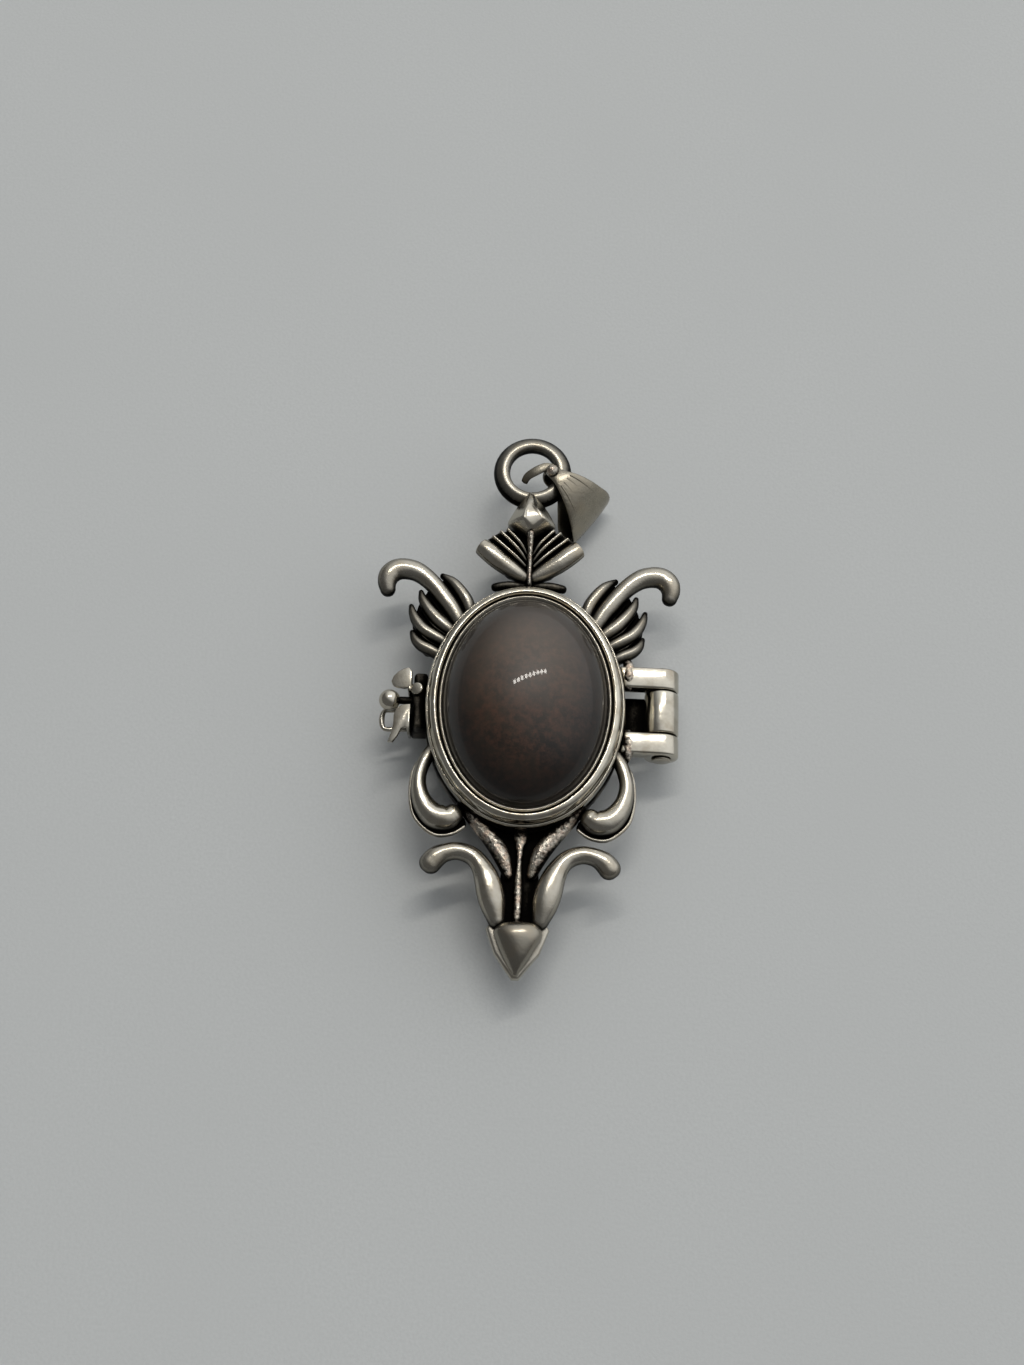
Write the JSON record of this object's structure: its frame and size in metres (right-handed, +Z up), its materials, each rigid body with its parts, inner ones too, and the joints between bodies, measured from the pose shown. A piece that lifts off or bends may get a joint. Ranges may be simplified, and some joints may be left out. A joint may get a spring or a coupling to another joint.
{
  "type": "oval gemstone locket",
  "caption": "Hinged oval locket pendant with a domed stone set in its lid, scrolled darkened-silver ornament, a ball catch, a top ring and a fold-over bail.",
  "frame": {"origin": "centre of the back cup's flat back face, which lies on the table", "axes": "+Z up out of the stone, +Y towards the hanging ring, +X towards the hinge"},
  "size_m": [0.0228, 0.0417, 0.0097],
  "materials": {
    "silver": "cast, blackened in the recesses and polished on the high spots",
    "stone": "polished brown-grey cabochon"
  },
  "bodies": {
    "back": {"back_cup": "silver", "hinge_leaf": "silver", "latch_bracket": "silver", "latch_fork": "silver", "latch_thumb_loop": "silver"},
    "lid": {"bezel_rim": "silver", "bezel_wall": "silver", "catch_ball_pin": "silver", "catch_lug": "silver", "frame_plate": "silver", "hanging_ring": "silver", "head_collar": "silver", "head_finial": "silver", "head_leaf_left": "silver", "head_leaf_right": "silver", "head_stem": "silver", "hinge_ear_lower": "silver", "hinge_ear_upper": "silver", "hinge_pin": "silver", "locating_lip": "silver", "scroll_left": "silver", "scroll_right": "silver", "stone": "stone", "tail_curl_left": "silver", "tail_curl_right": "silver", "tail_point": "silver", "tail_spine": "silver", "tail_vine_left": "silver", "tail_vine_right": "silver", "wing_fan_left": "silver", "wing_fan_right": "silver", "wing_hook_left": "silver", "wing_hook_right": "silver"},
    "bail": {"bail_shell": "silver", "bail_bead": "silver"}
  },
  "joints": [
    {"name": "lid_hinge", "type": "hinge", "parent": "back", "child": "lid", "pos_m": [0.00995, 0.0002, 0.0033], "axis": [0, 1, 0], "range_deg": [0, 110]},
    {"name": "bail_travel", "type": "hinge", "parent": "lid", "child": "bail", "pos_m": [0, 0.019, 0.0042], "axis": [0, 0, 1], "range_deg": [0, 238]}
  ]
}
